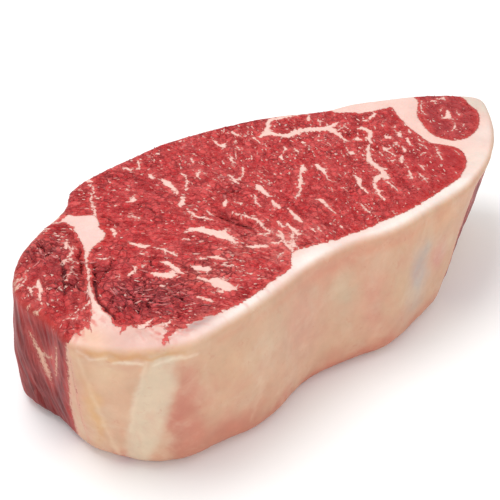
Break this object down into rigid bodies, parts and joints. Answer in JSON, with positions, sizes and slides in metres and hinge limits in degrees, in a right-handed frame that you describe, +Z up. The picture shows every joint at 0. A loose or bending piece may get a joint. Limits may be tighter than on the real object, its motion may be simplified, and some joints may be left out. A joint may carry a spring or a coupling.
{
  "type": "raw striploin steak",
  "caption": "Thick raw striploin steak: a marbled eye muscle, an end muscle and a round tail muscle, wrapped by a fat cap and lying on its lower cut face.",
  "frame": {"origin": "on the lower cut face, under the middle of the steak's bounding box", "axes": "+X along the steak from the end muscle to the tail, -Y out of the fat cap, +Z up through the slice"},
  "size_m": [0.2194, 0.106, 0.0519],
  "materials": {
    "lean": "moist raw red meat with white marbling",
    "fat": "waxy cream fat, whiter where it is freshly cut"
  },
  "bodies": {
    "root": {"eye_muscle": "lean", "end_muscle": "lean", "small_muscle": "lean", "fat_cap": "fat"}
  },
  "joints": []
}
